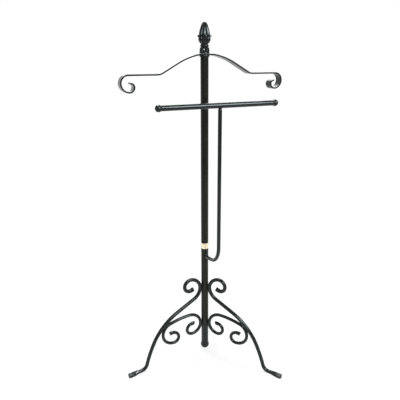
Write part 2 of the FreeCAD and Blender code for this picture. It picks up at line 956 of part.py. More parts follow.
def make_crown_collar():
    """A collar with a scalloped rim, like a ring of leaf points."""
    body = new_body("crown_collar")
    foot_radius = size["crown_foot_diameter"] / 2
    lip_radius = size["crown_lip_diameter"] / 2
    revolve(
        body,
        "crown_turning",
        [
            (finial_passage_radius, ZERO),
            (foot_radius, ZERO),
            (foot_radius, size["crown_foot_height"]),
            (size["crown_waist_diameter"] / 2, size["crown_waist_height"]),
            (lip_radius, size["crown_lip_height"]),
            (size["crown_neck_diameter"] / 2, size["crown_height"]),
            (finial_passage_radius, size["crown_height"]),
        ],
    )
    scallop = new_sketch(body, "XY_Plane", "crown_scallop_outline", size["crown_height"])
    scallop_radius = size["crown_scallop_diameter"] / 2
    reach = lip_radius + scallop_radius - size["crown_scallop_depth"]
    draw_circle(scallop, reach, ZERO, size["crown_scallop_diameter"])
    cut = body.newObject("PartDesign::Pocket", "crown_scallop")
    cut.Profile = scallop
    bind(cut, "Length", size["crown_height"] - size["crown_foot_height"])
    body.Tip = cut
    repeat_round(body, "crown_scallops", cut, CROWN_SCALLOP_COUNT)
    place_body(body, ZERO, ZERO, crown_foot)


def make_finial():
    """One casting: a bead, a cup with curled leaves and a fluted bud."""
    body = new_body("finial")
    neck_radius = size["finial_neck_diameter"] / 2
    bead_half = size["bead_height"] / 2
    bead_rise = size["bead_diameter"] / 2 - neck_radius
    bead_radius = (bead_half * bead_half + bead_rise * bead_rise) / (bead_rise * 2)
    stud_in_finial = (
        size["finial_stud_length"]
        - size["finial_stud_grip"]
        - size["hanger_thickness"]
        - size["crown_height"]
    )
    bore_depth = stud_in_finial + size["cut_overrun"]
    crown_radius = size["bud_crown_diameter"] / 2
    cap_rise = size["bud_height"] - size["bud_crown_height"]
    cap_radius = (crown_radius * crown_radius + cap_rise * cap_rise) / (cap_rise * 2)
    revolve(
        body,
        "finial_core",
        [
            (finial_bore_radius, ZERO),
            (neck_radius, ZERO),
            (neck_radius, size["bead_foot_height"], bead_radius, 1),
            (neck_radius, size["bead_foot_height"] + size["bead_height"]),
            (neck_radius, size["cup_foot_height"], size["cup_side_radius"], 1),
            (size["cup_widest_diameter"] / 2, size["cup_widest_height"]),
            (size["bud_foot_diameter"] / 2, size["bud_foot_height"]),
            (size["bud_shoulder_diameter"] / 2, size["bud_shoulder_height"]),
            (crown_radius, size["bud_crown_height"], cap_radius, 1),
            (ZERO, size["bud_height"]),
            (ZERO, bore_depth),
            (finial_bore_radius, bore_depth),
        ],
    )
    flute_outline = new_sketch(body, "XZ_Plane", "flute_outline")
    flute_foot_x = size["flute_foot_diameter"] / 2
    flute_top_x = size["flute_top_diameter"] / 2
    draw_outline(
        flute_outline,
        [
            (flute_foot_x, size["flute_foot_height"]),
            (flute_top_x - size["flute_top_radius"], size["flute_top_height"]),
            (flute_top_x, size["flute_top_height"]),
        ],
    )
    flute = body.newObject("PartDesign::Groove", "flute")
    flute.Profile = flute_outline
    flute.ReferenceAxis = (flute_outline, ["Edge3"])
    flute.Angle = FULL_TURN
    body.Tip = flute
    repeat_round(body, "flutes", flute, FLUTE_COUNT)
    leaf_outline = new_sketch(body, "XZ_Plane", "leaf_outline")
    leaf_foot_x = size["leaf_foot_diameter"] / 2
    leaf_tip_x = size["leaf_tip_diameter"] / 2
    leaf_bend_x = size["leaf_bend_diameter"] / 2
    thickness = size["leaf_thickness"]
    draw_outline(
        leaf_outline,
        [
            (leaf_foot_x, size["leaf_foot_height"]),
            (leaf_bend_x, size["leaf_bend_height"]),
            (leaf_tip_x, size["leaf_tip_height"]),
            (leaf_tip_x - thickness, size["leaf_tip_height"]),
            (leaf_bend_x - thickness, size["leaf_bend_height"]),
            (leaf_foot_x - thickness, size["leaf_foot_height"]),
        ],
    )
    leaf = body.newObject("PartDesign::Revolution", "leaf")
    leaf.Profile = leaf_outline
    leaf.ReferenceAxis = (leaf_outline, ["V_Axis"])
    leaf.Midplane = True
    bind(leaf, "Angle", size["leaf_spread_angle"])
    body.Tip = leaf
    repeat_round(body, "leaves", leaf, LEAF_COUNT)
    place_body(body, ZERO, ZERO, finial_foot, FreeCAD.Vector(0, 0, 1), size["leaf_angle"])


make_top_plug()
make_stud(
    "finial_stud",
    hanger_underside - size["finial_stud_grip"],
    size["finial_stud_length"],
    size["finial_stud_diameter"],
)
make_crown_collar()
make_finial()


# Nothing is written unless every feature and every piece is sound

doc.recompute()
for item in doc.Objects:
    faults = [state for state in item.State if state in ("Invalid", "Error")]
    if faults:
        raise RuntimeError(item.Name + " has the state " + " ".join(faults))
bodies = [item for item in doc.Objects if item.TypeId == "PartDesign::Body"]
for body in bodies:
    shape = body.Shape
    if shape.isNull() or not shape.isValid() or len(shape.Solids) != 1:
        raise RuntimeError(body.Label + " is not one sound solid")

os.makedirs("parts", exist_ok=True)
for body in bodies:
    body.Shape.exportStep("parts/" + body.Label + ".step")
    print(body.Label, round(body.Shape.Volume, 1), body.Shape.BoundBox)
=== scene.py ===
import math

import bmesh
import bpy
from mathutils import Matrix, Vector


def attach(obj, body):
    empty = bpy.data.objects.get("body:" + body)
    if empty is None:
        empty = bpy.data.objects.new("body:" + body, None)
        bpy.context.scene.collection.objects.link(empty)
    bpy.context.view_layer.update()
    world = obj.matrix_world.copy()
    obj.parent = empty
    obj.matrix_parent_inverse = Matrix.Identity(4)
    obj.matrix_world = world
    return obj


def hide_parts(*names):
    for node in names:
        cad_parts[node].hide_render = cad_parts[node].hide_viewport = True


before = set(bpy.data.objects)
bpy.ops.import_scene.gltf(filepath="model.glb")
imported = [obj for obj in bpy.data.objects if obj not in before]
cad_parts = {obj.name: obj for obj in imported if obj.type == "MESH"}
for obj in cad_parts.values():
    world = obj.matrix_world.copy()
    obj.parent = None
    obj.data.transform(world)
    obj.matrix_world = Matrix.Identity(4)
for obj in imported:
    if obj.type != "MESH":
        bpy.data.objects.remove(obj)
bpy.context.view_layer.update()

# The three tubes of the stand: the base tube in the tripod, the short lower pole and the long
# upper pole. Each is drawn steel tube, sawn square with its edges broken, and then painted.
# Sizes are in millimetres, and MM turns them into the frame's metres.
MM = 0.001


def linear_colour(hex_text):
    """An sRGB hex colour as the linear colour that a shader takes."""
    channels = [int(hex_text[i : i + 2], 16) / 255 for i in (1, 3, 5)]
    return [c / 12.92 if c <= 0.04045 else ((c + 0.055) / 1.055) ** 2.4 for c in channels] + [1]


def socket_in(sockets, key):
    """A socket by its number, its identifier or its name."""
    if isinstance(key, int):
        return sockets[key]
    return next((s for s in sockets if s.identifier == key), None) or sockets.get(key)


def add_node(tree, kind, settings=(), links=()):
    """Adds a node, sets its properties and sockets, and links other nodes' sockets to it."""
    node = tree.nodes.new(kind)
    for key, value in dict(settings).items():
        if isinstance(key, str) and key.islower():
            setattr(node, key, value)
        else:
            socket_in(node.inputs, key).default_value = value
    for key, (source, output) in dict(links).items():
        tree.links.new(socket_in(source.outputs, output), socket_in(node.inputs, key))
    return node


def plain_material(name, colour, metallic, roughness):
    """A material with its shader and output, and the Object coordinates that patterns read."""
    material = bpy.data.materials.new(name)
    material.use_nodes = True
    tree = material.node_tree
    tree.nodes.clear()
    place = add_node(tree, "ShaderNodeTexCoord")
    shader = add_node(
        tree,
        "ShaderNodeBsdfPrincipled",
        {"Base Color": linear_colour(colour), "Metallic": metallic, "Roughness": roughness},
    )
    add_node(tree, "ShaderNodeOutputMaterial", (), {"Surface": (shader, "BSDF")})
    return material, tree, place, shader


def stoved_black_paint(base, dark, light, gloss, sheen_tint, painted_sheen_height=0.0):
    """Stoved black paint on mild steel: near black, with crisp but dim highlights, a faint
    orange peel and duller patches where it has been rubbed. Below a given height, and partly
    again up towards the hanger, the reflections are made stronger and tinted blue: a painted
    bluish reflection laid on by height."""
    material, tree, place, shader = plain_material(
        "stoved_black_paint_on_" + base, dark, 0.0, 0.16
    )
    shader.inputs["IOR"].default_value = 1.5
    shader.inputs["Specular IOR Level"].default_value = gloss
    shader.inputs["Specular Tint"].default_value = linear_colour(sheen_tint)
    # Painted reflection: below the given height, and partly again towards the hanger, the
    # reflections are made stronger and tinted blue
    if painted_sheen_height:
        painted_sheen_gloss, painted_sheen_tint = 0.36, linear_colour("#e2faff")
        foot_sheen_span = {"From Min": (painted_sheen_height - 25) * MM, "From Max": (painted_sheen_height + 25) * MM}
        top_sheen_span = {"From Min": 600 * MM, "From Max": 920 * MM, "To Min": 1.0, "To Max": 0.4}
        height = add_node(tree, "ShaderNodeSeparateXYZ", (), {"Vector": (place, "Object")})
        above = add_node(tree, "ShaderNodeMapRange", foot_sheen_span, {"Value": (height, "Z")})
        below = add_node(tree, "ShaderNodeMapRange", top_sheen_span, {"Value": (height, "Z")})
        plain_sheen_share = add_node(
            tree,
            "ShaderNodeMath",
            {"operation": "MULTIPLY"},
            {0: (above, "Result"), 1: (below, "Result")},
        )
        depth = add_node(
            tree,
            "ShaderNodeMix",
            {"data_type": "FLOAT", "A_Float": painted_sheen_gloss, "B_Float": gloss},
            {"Factor_Float": (plain_sheen_share, "Value")},
        )
        tree.links.new(depth.outputs["Result"], shader.inputs["Specular IOR Level"])
        cast = add_node(
            tree,
            "ShaderNodeMix",
            {"data_type": "RGBA", "A_Color": painted_sheen_tint, "B_Color": linear_colour(sheen_tint)},
            {"Factor_Float": (plain_sheen_share, "Value")},
        )
        tree.links.new(socket_in(cast.outputs, "Result_Color"), shader.inputs["Specular Tint"])
    # Rubbed patches are 30 to 60 mm long on such a stand
    patches = add_node(
        tree,
        "ShaderNodeTexNoise",
        {"Scale": 1 / (45 * MM), "Detail": 3.0, "Roughness": 0.55},
        {"Vector": (place, "Object")},
    )
    sheen = add_node(
        tree,
        "ShaderNodeMapRange",
        {"From Min": 0.3, "From Max": 0.7, "To Min": 0.13, "To Max": 0.2},
        {"Value": (patches, "Fac")},
    )
    tree.links.new(sheen.outputs["Result"], shader.inputs["Roughness"])
    tint = add_node(
        tree,
        "ShaderNodeMix",
        {"data_type": "RGBA", "A_Color": linear_colour(dark), "B_Color": linear_colour(light)},
        {"Factor_Float": (patches, "Fac")},
    )
    tree.links.new(socket_in(tint.outputs, "Result_Color"), shader.inputs["Base Color"])
    # Real orange peel is about 1 mm across; it is drawn 2.5 mm so that it shows
    peel = add_node(
        tree,
        "ShaderNodeTexNoise",
        {"Scale": 1 / (2.5 * MM), "Detail": 2.0, "Roughness": 0.5},
        {"Vector": (place, "Object")},
    )
    # The bar and tube under the paint are slightly uneven over 20 to 30 mm
    uneven = add_node(
        tree,
        "ShaderNodeTexNoise",
        {"Scale": 1 / (28 * MM), "Detail": 2.0, "Roughness": 0.5},
        {"Vector": (place, "Object")},
    )
    fine = add_node(
        tree,
        "ShaderNodeBump",
        {"Strength": 0.12, "Distance": 0.06 * MM},
        {"Height": (peel, "Fac")},
    )
    broad = add_node(
        tree,
        "ShaderNodeBump",
        {"Strength": 0.12, "Distance": 0.3 * MM},
        {"Height": (uneven, "Fac"), "Normal": (fine, "Normal")},
    )
    tree.links.new(broad.outputs["Normal"], shader.inputs["Normal"])
    return material


# The drawn tubes get the painted bluish reflection below 105 mm and partly near the hanger
tube_paint = stoved_black_paint("drawn_tube", "#0d0e0c", "#171511", 0.24, "#fafcf4", 105.0)


def fit_piece(shape, name, material, body, nodes):
    """Makes a shape into a piece that rides on a body and stands for its CAD nodes."""
    bmesh.ops.remove_doubles(shape, verts=shape.verts, dist=0.01 * MM)
    bmesh.ops.recalc_face_normals(shape, faces=shape.faces)
    mesh = bpy.data.meshes.new(name)
    shape.to_mesh(mesh)
    shape.free()
    mesh.shade_smooth()
    mesh.set_sharp_from_angle(angle=math.radians(38))
    mesh.materials.append(material)
    piece = bpy.data.objects.new(name, mesh)
    bpy.context.scene.collection.objects.link(piece)
    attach(piece, body)
    if nodes:
        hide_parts(*nodes)


def turn_profile(shape, profile, steps, height=0.0):
    """Spins a profile of (radius, height) points, in millimetres, once round the pole's axis."""
    points = [shape.verts.new((r * MM, 0, (z + height) * MM)) for r, z in profile]
    edges = [shape.edges.new(pair) for pair in zip(points, points[1:])]
    bmesh.ops.spin(
        shape,
        geom=points + edges,
        cent=(0, 0, 0),
        axis=(0, 0, 1),
        angle=math.tau,
        steps=steps,
        use_merge=True,
        use_duplicate=False,
    )
    bmesh.ops.remove_doubles(shape, verts=shape.verts, dist=0.005 * MM)


def sawn_tube(outside, length):
    """The profile of a tube with a 1.5 mm wall and both outer edges broken by 0.4 mm; the last
    ring of each end keeps the shading of the long side straight."""
    r, bore, edge = outside / 2, outside / 2 - 1.5, 0.4
    corners = [(bore, 0), (r - edge, 0), (r - edge * 0.3, edge * 0.3), (r, edge), (r, edge * 3)]
    mirrored = [(x, length - z) for x, z in reversed(corners)]
    return corners + mirrored + [(bore, 0)]


for tube_name, tube_body, tube_outside, tube_foot, tube_top in (
    ("base_tube", "base", 23.0, 27.66, 248.0),
    ("lower_pole", "mast", 22.0, 248.3, 370.6),
    ("upper_pole", "mast", 22.0, 388.6, 923.0),
):
    tube = bmesh.new()
    turn_profile(tube, sawn_tube(tube_outside, tube_top - tube_foot), 72, tube_foot)
    fit_piece(tube, tube_name + "_tube", tube_paint, tube_body, [tube_name])


# The ball that closes the foot of the base tube: a turned steel ball on a spigot, pushed into
# the tube and welded round, with the weld dressed to a shallow ring before painting.
black_paint = stoved_black_paint("mild_steel", "#0a0e0d", "#171412", 0.36, "#eafcff")
ball_radius, ball_middle = 13.6, 20.4


def round_profile(radius, middle, angles):
    """Points on a circle about the axis, at angles in degrees from its lowest point."""
    turns = [math.radians(angle) for angle in angles]
    return [(radius * math.sin(turn), middle - radius * math.cos(turn)) for turn in turns]


dressed_weld = [(12.2, 27.6), (11.95, 28.6), (11.6, 29.4), (11.4, 29.6)]
ball_spigot = [(9.9, 29.6), (9.9, 41.6), (0, 41.6)]
ball_profile = round_profile(ball_radius, ball_middle, range(0, 120, 6))
ball_profile += dressed_weld + ball_spigot
base_ball = bmesh.new()
turn_profile(base_ball, ball_profile, 48)
fit_piece(base_ball, "base_ball_turning", black_paint, "base", ["base_ball"])


# The three legs: 11.5 mm round bar, bent cold round formers into a curl beside the tube and a
# long sweep, then flattened hot at the foot and sawn off square. The bar's end is dressed.
def start_bar(shape, centre, across, up, radius, sides=24):
    """The first ring of a round bar, about a centre, in the plane of two directions."""
    ring = bmesh.ops.create_circle(shape, cap_ends=False, segments=sides, radius=radius * MM)
    turned = Matrix((across, up, Vector(across).cross(Vector(up)))).transposed().to_4x4()
    turned.translation = Vector(centre) * MM
    bmesh.ops.transform(shape, matrix=turned, verts=ring["verts"])
    return list({edge for vertex in ring["verts"] for edge in vertex.link_edges})


class Bending:
    """A bar being bent in the XZ plane, its ring of edges carried on by runs and bends."""

    def __init__(self, shape, ring, x, z, heading):
        self.shape = shape
        self.ring = ring
        self.place = Vector((x, 0, z))
        self.heading = heading

    def ahead(self):
        """The direction in which the bar's end points."""
        turn = math.radians(self.heading)
        return Vector((math.cos(turn), 0, math.sin(turn)))

    def run(self, length):
        """A straight length; gives the points of its new ring."""
        made = bmesh.ops.extrude_edge_only(self.shape, edges=self.ring)["geom"]
        verts = [v for v in made if isinstance(v, bmesh.types.BMVert)]
        bmesh.ops.translate(self.shape, vec=self.ahead() * length * MM, verts=verts)
        self.place += self.ahead() * length
        self.ring = [e for e in made if isinstance(e, bmesh.types.BMEdge)]
        return verts

    def bend(self, radius, turn, side, fineness=6.0):
        """A bend of so many degrees to the left (1) or the right (-1), in steps of fineness."""
        heading = math.radians(self.heading)
        left = Vector((-math.sin(heading), 0, math.cos(heading)))
        centre = self.place + left * radius * side
        steps = max(2, round(turn / fineness))
        made = bmesh.ops.spin(
            self.shape,
            geom=self.ring,
            cent=centre * MM,
            axis=(0, -1, 0),
            angle=math.radians(turn) * side,
            steps=steps,
        )["geom_last"]
        spoke = self.place - centre
        turned = Matrix.Rotation(math.radians(turn) * side, 3, (0, -1, 0))
        self.place = centre + turned @ spoke
        self.heading += turn * side
        self.ring = [e for e in made if isinstance(e, bmesh.types.BMEdge)]

    def spread(self, share):
        """Spreads the last ring in the plane of the bends and thins it to match."""
        verts = list({vertex for edge in self.ring for vertex in edge.verts})
        about = Matrix.Translation(-self.place * MM)
        size = (share, 1 / math.sqrt(share), share)
        bmesh.ops.scale(self.shape, vec=size, verts=verts, space=about)

    def bend_spread_end(self, radius, turn, side, share):
        """The last of a curl, hammered wider, mostly at the start of the flat."""
        for part in (0.35, 0.3, 0.2, 0.15):
            self.bend(radius, turn / 4, side, turn / 8)
            self.spread(share**part)


def close_end(shape, ring, dressing):
    """Caps a bar's end and dresses its sawn edge."""
    cap = bmesh.ops.contextual_create(shape, geom=ring)["faces"]
    edges = list({edge for face in cap for edge in face.edges})
    bmesh.ops.bevel(
        shape,
        geom=edges,
        offset=dressing * MM,
        segments=2,
        profile=0.5,
        affect="EDGES",
        material=-1,
    )


def turn_about_pole(shape, degrees):
    """Turns a whole shape about the pole's axis."""
    turned = Matrix.Rotation(math.radians(degrees), 3, "Z")
    bmesh.ops.rotate(shape, verts=shape.verts, cent=(0, 0, 0), matrix=turned)


def middle_of(verts):
    """The mean place of some points."""
    return sum((vertex.co for vertex in verts), Vector()) / len(verts)


tripod_turn = -24.45
leg_turns = {"rear": 90 + tripod_turn, "left": 210 + tripod_turn, "right": 330 + tripod_turn}
leg_radius, foot_reach = 5.75, 233.08
dressed_edge = 0.7


def square_up(verts, centre_z, half_width, half_height, share):
    """Pushes a flattened ring's round outline towards a rounded box, flat underneath."""
    for vertex in verts:
        y, z = vertex.co.y / (half_width * MM), (vertex.co.z / MM - centre_z) / half_height
        reach = max(abs(y), abs(z), 1e-6)
        pushed = 1 + (1 / reach - 1) * share * min(1.0, math.hypot(y, z))
        vertex.co.y = max(-1, min(1, y * pushed)) * half_width * MM
        vertex.co.z = (centre_z + max(-1, min(1, z * pushed)) * half_height) * MM


for leg_place, leg_turn in leg_turns.items():
    leg = bmesh.new()
    ring = start_bar(leg, (foot_reach, 0, leg_radius), (0, 1, 0), (0, 0, 1), leg_radius)
    # The bend at the ankle, the long sweep up to the tube, and the curl beside the tube
    sweep = Bending(leg, list(ring), foot_reach, leg_radius, 180)
    sweep.run(6.0)
    sweep.bend(20.7, 73.9, -1)
    sweep.bend(418.0, 10.05, 1, 2.0)
    sweep.bend(183.8, 37.06, 1, 3.0)
    sweep.run(66.6)
    sweep.bend(39.9, 52.9, -1)
    sweep.bend(36.0, 90.0, -1)
    sweep.bend(20.7, 110.6, -1)
    sweep.bend(16.8, 50.0, -1)
    sweep.bend_spread_end(16.8, 50.0, -1, 1.3)
    sweep.run(7.0)
    sweep.spread(1.05)
    sweep.run(1.5)
    close_end(leg, sweep.ring, dressed_edge)
    # The foot spreads as it is hammered flat, from round bar to a tip about 15 by 7 mm
    foot = Bending(leg, list(ring), foot_reach, leg_radius, 0)
    for gone, half_width, half_height, share in (
        (5.0, 6.2, 5.45, 0.15),
        (5.0, 6.7, 4.85, 0.35),
        (6.0, 7.1, 4.25, 0.55),
        (6.0, 7.3, 3.8, 0.7),
        (5.0, 7.4, 3.55, 0.75),
        (3.5, 7.45, 3.5, 0.75),
        (2.5, 7.0, 3.45, 0.7),
        (1.4, 6.0, 3.35, 0.6),
        (0.6, 4.7, 3.1, 0.5),
    ):
        verts = foot.run(gone)
        centre = middle_of(verts)
        old_width = max(abs(v.co.y) for v in verts) / MM
        old_height = max(abs(v.co.z - centre.z) for v in verts) / MM
        bmesh.ops.scale(
            leg,
            vec=(1, half_width / old_width, half_height / old_height),
            verts=verts,
            space=Matrix.Translation(-centre),
        )
        bmesh.ops.translate(leg, vec=(0, 0, half_height * MM - centre.z), verts=verts)
        square_up(verts, half_height, half_width, half_height, share)
    close_end(leg, foot.ring, dressed_edge)
    turn_about_pole(leg, leg_turn)
    fit_piece(leg, "leg_bar_" + leg_place, black_paint, "base", ["leg_" + leg_place])


# The three braces: 10 mm round bar, bent cold into a C with a curl at both ends. Each one is
# welded to the tube under its shoulder and to the underside of its own leg.
brace_radius, brace_reach, brace_height = 5.0, 16.6, 107.0
for brace_place, brace_turn in leg_turns.items():
    brace = bmesh.new()
    ring = start_bar(brace, (brace_reach, 0, brace_height), (1, 0, 0), (0, 1, 0), brace_radius)
    # From the weld at the tube: over the arch to the leg, and round the outer curl
    outward = Bending(brace, list(ring), brace_reach, brace_height, 90)
    outward.bend(41.7, 90.0, -1)
    outward.bend(237.0, 16.2, -1, 3.0)
    outward.bend(34.0, 44.0, -1)
    outward.bend(37.6, 120.0, -1)
    outward.bend(15.9, 90.0, -1)
    outward.bend(22.0, 64.0, -1)
    outward.bend_spread_end(22.0, 50.0, -1, 1.42)
    close_end(brace, outward.ring, dressed_edge)
    # From the same weld down and round the inner curl
    inward = Bending(brace, list(ring), brace_reach, brace_height, -90)
    inward.bend(29.6, 90.0, 1)
    inward.bend(19.1, 90.0, 1)
    inward.bend(18.3, 57.0, 1)
    inward.bend_spread_end(18.3, 55.0, 1, 1.4)
    close_end(brace, inward.ring, dressed_edge)
    turn_about_pole(brace, brace_turn)
    brace_node = "brace_" + brace_place
    fit_piece(brace, "brace_bar_" + brace_place, black_paint, "base", [brace_node])


# The welds of the tripod: short runs of bead where each leg and each brace meets the tube, and
# where each brace meets its leg. They are lumpy, and the paint flows over them.
def weld_bead(shape, centre, lean, half_length, half_width, half_depth):
    """One rippled bead along the plane of its bar, leaning so many degrees from upright."""
    bead = bmesh.ops.create_uvsphere(shape, u_segments=24, v_segments=16, radius=1.0)["verts"]
    for vertex in bead:
        ripple = 1 + 0.07 * math.sin(vertex.co.z * 9 + 1.3)
        vertex.co.x *= ripple
        vertex.co.y *= ripple
    size = Vector((half_width, half_depth, half_length)) * MM
    bmesh.ops.scale(shape, vec=size, verts=bead)
    lean_turn = Matrix.Rotation(math.radians(lean), 3, (0, 1, 0))
    bmesh.ops.rotate(shape, verts=bead, cent=(0, 0, 0), matrix=lean_turn)
    bmesh.ops.translate(shape, vec=Vector(centre) * MM, verts=bead)


for weld_place, weld_turn in leg_turns.items():
    welds = bmesh.new()
    for at, lean, half_length, half_width, half_depth in (
        ((11.6, 0, 236.6), 0, 9.0, 1.6, 4.6),
        ((11.6, 0, brace_height), 0, 8.0, 1.5, 4.2),
        ((137.8, 0, 131.4), 135, 9.0, 1.5, 4.0),
    ):
        weld_bead(welds, at, lean, half_length, half_width, half_depth)
    turn_about_pole(welds, weld_turn)
    fit_piece(welds, "tripod_welds_" + weld_place, black_paint, "base", [])


# The spigot that the mast turns on, and the plugs and studs inside the poles: bright turned
# steel. They stay as the solids of the frame and show only at the joint's fine gap.
def bright_turned_steel():
    """Turned mild steel, oiled and unpainted: a grey shine crossed by fine feed marks, which
    are 0.2 mm apart and drawn 0.8 mm apart."""
    material, tree, place, shader = plain_material("bright_turned_steel", "#9d9c98", 1.0, 0.3)
    marks = add_node(
        tree,
        "ShaderNodeTexWave",
        {"bands_direction": "Z", "Scale": 1 / (0.8 * MM) / 20, "Distortion": 0.6},
        {"Vector": (place, "Object")},
    )
    dull = add_node(
        tree,
        "ShaderNodeMapRange",
        {"To Min": 0.24, "To Max": 0.38},
        {"Value": (marks, "Fac")},
    )
    tree.links.new(dull.outputs["Result"], shader.inputs["Roughness"])
    return material


turned_steel = bright_turned_steel()
for inner_name in ("swivel_spigot", "lower_plug", "upper_plug", "joint_stud", "finial_stud"):
    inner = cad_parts[inner_name]
    inner.data.materials.clear()
    inner.data.materials.append(turned_steel)


# The brass ring between the two poles: turned from bar, slightly barrelled, polished and left
# unlacquered, so it is bright with a soft yellow and faint lathe lines round it.
def polished_brass():
    """Polished brass: a pale yellow shine, mottled by a little tarnish, with fine lathe lines
    that draw the light out sideways."""
    material, tree, place, shader = plain_material("polished_brass", "#f7e8c0", 1.0, 0.2)
    tarnish = add_node(
        tree,
        "ShaderNodeTexNoise",
        {"Scale": 1 / (6 * MM), "Detail": 4.0, "Roughness": 0.6},
        {"Vector": (place, "Object")},
    )
    dulled, bright = linear_colour("#f8e6b8"), linear_colour("#fffae8")
    tone = add_node(
        tree,
        "ShaderNodeMix",
        {"data_type": "RGBA", "A_Color": dulled, "B_Color": bright},
        {"Factor_Float": (tarnish, "Fac")},
    )
    tree.links.new(socket_in(tone.outputs, "Result_Color"), shader.inputs["Base Color"])
    # Lathe lines are about 0.1 mm apart; they are drawn 0.7 mm apart so that they show
    lines = add_node(
        tree,
        "ShaderNodeTexWave",
        {"bands_direction": "Z", "Scale": 1 / (0.7 * MM) / 20, "Distortion": 0.4},
        {"Vector": (place, "Object")},
    )
    rough = add_node(
        tree,
        "ShaderNodeMapRange",
        {"To Min": 0.32, "To Max": 0.44},
        {"Value": (lines, "Fac")},
    )
    tree.links.new(rough.outputs["Result"], shader.inputs["Roughness"])
    groove = add_node(
        tree,
        "ShaderNodeBump",
        {"Strength": 0.2, "Distance": 0.03 * MM},
        {"Height": (lines, "Fac")},
    )
    tree.links.new(groove.outputs["Normal"], shader.inputs["Normal"])
    return material


ring_foot, ring_height, ring_barrel = 370.6, 18.0, 0.3
ring_edge = [(5.25, 0), (10.55, 0), (10.85, 0.12), (11.0, 0.4)]
ring_belly = [
    (11.0 + ring_barrel * (1 - ((z - ring_height / 2) / 8.6) ** 2), z) for z in range(1, 18, 2)
]
ring_far_edge = [(r, ring_height - z) for r, z in reversed(ring_edge)]
collar = bmesh.new()
turn_profile(collar, ring_edge + ring_belly + ring_far_edge, 72, ring_foot)
fit_piece(collar, "brass_ring", polished_brass(), "mast", ["brass_collar"])


# The rail's arm: 10.5 mm round bar, bent once, coped to the front of the lower pole and necked
# where it is welded under the rail. The welds are drawn as a collar of bead round each end.
arm = bmesh.new()
arm_radius, rail_reach, rail_height = 5.25, 95.3, 805.6
neck_foot, bend_top = 794.0, 409.95
coped_edge = 0.3
ring = start_bar(arm, (-rail_reach, 0, neck_foot), (1, 0, 0), (0, 1, 0), arm_radius)
lower = Bending(arm, list(ring), -rail_reach, neck_foot, -90)
lower.run(neck_foot - bend_top)
lower.bend(58.9, 78.0, 1, 4.0)
lower.run(38.8)
lower.run(0.8)
close_end(arm, lower.ring, coped_edge)
# The neck and, above it, the weld that spreads to the rail
upper = Bending(arm, list(ring), -rail_reach, neck_foot, 90)
for gone, neck_radius in (
    (0.4, 5.25),
    (0.8, 4.9),
    (1.0, 4.55),
    (1.6, 4.55),
    (0.8, 5.2),
    (0.7, 6.1),
    (1.6, 6.4),
):
    verts = upper.run(gone)
    centre = middle_of(verts)
    grow = neck_radius * MM / max((v.co - centre).length for v in verts)
    bmesh.ops.scale(arm, vec=(grow, grow, 1), verts=verts, space=Matrix.Translation(-centre))
close_end(arm, upper.ring, coped_edge)
weld_bead(arm, (-11.6, 0, 345.8), -8, 9.0, 2.6, 7.4)
weld_bead(arm, (-14.8, 0, 348.2), 52, 5.6, 2.2, 4.2)
turn_about_pole(arm, 90)
fit_piece(arm, "rail_arm_bar", black_paint, "mast", ["rail_arm"])


# The trouser rail: 14 mm steel tube, welded on the arm, with a turned steel ball pushed into
# each end and painted with it. A fine groove is left where the ball's seat meets the tube.
def lay_along_rail(shape):
    """Turns an upright turning to lie along X at the rail's place."""
    turned = Matrix.Rotation(math.radians(90), 3, "Y")
    bmesh.ops.rotate(shape, verts=shape.verts, cent=(0, 0, 0), matrix=turned)
    place = Vector((0, -rail_reach, rail_height)) * MM
    bmesh.ops.translate(shape, verts=shape.verts, vec=place)


rail_end = 158.0
rail = bmesh.new()
turn_profile(rail, sawn_tube(14.0, 2 * rail_end), 48, -rail_end)
lay_along_rail(rail)
fit_piece(rail, "trouser_rail_tube", black_paint, "mast", ["trouser_rail"])
end_ball_profile = [(0, 146), (5.4, 146), (5.4, 157.6), (6.2, 158.0), (6.5, 158.4)]
end_ball_profile += round_profile(9.0, 163.66, range(50, 181, 5))
for ball_side, ball_node in ((-1, "rail_ball_left"), (1, "rail_ball_right")):
    end_ball = bmesh.new()
    turn_profile(end_ball, [(r, z * ball_side) for r, z in end_ball_profile], 40)
    lay_along_rail(end_ball)
    fit_piece(end_ball, ball_node + "_turning", black_paint, "mast", [ball_node])


# The jacket hanger: one 25 by 4 mm flat bar, its edges rounded by rolling, bent on the flat to
# an arch, two shoulders and a curl at each end. It is bored in the middle for the stud.
flat_width, flat_thickness, rolled_edge = 25, 4, 0.4
hanger_middle, bore_offset = 929, 3.3
hanger = bmesh.new()
section = bmesh.ops.create_grid(hanger, x_segments=1, y_segments=1, size=0.5)["verts"]
bmesh.ops.scale(hanger, vec=(flat_width * MM, flat_thickness * MM, 1), verts=section)
for axis in ("X", "Z"):
    upright = Matrix.Rotation(math.radians(90), 3, axis)
    bmesh.ops.rotate(hanger, verts=section, cent=(0, 0, 0), matrix=upright)
bmesh.ops.bevel(
    hanger,
    geom=list(hanger.verts),
    offset=rolled_edge * MM,
    segments=2,
    profile=0.5,
    affect="VERTICES",
    material=-1,
)
bmesh.ops.delete(hanger, geom=list(hanger.faces), context="FACES_ONLY")
# Points beside each rounded corner keep the four flats of the bar flat in the light
flats = [edge for edge in hanger.edges if edge.calc_length() > flat_thickness / 2 * MM]
beside = bmesh.ops.subdivide_edges(hanger, edges=flats, cuts=2)["geom_inner"]
beside_edge, beside_face = flat_width / 2 - 0.7, flat_thickness / 2 - 0.7
for vertex in beside:
    if isinstance(vertex, bmesh.types.BMVert):
        if abs(vertex.co.y) < flat_width / 4 * MM:
            vertex.co.y = math.copysign(beside_edge * MM, vertex.co.y)
        else:
            vertex.co.z = math.copysign(beside_face * MM, vertex.co.z)
bmesh.ops.translate(hanger, vec=(0, 0, hanger_middle * MM), verts=hanger.verts)
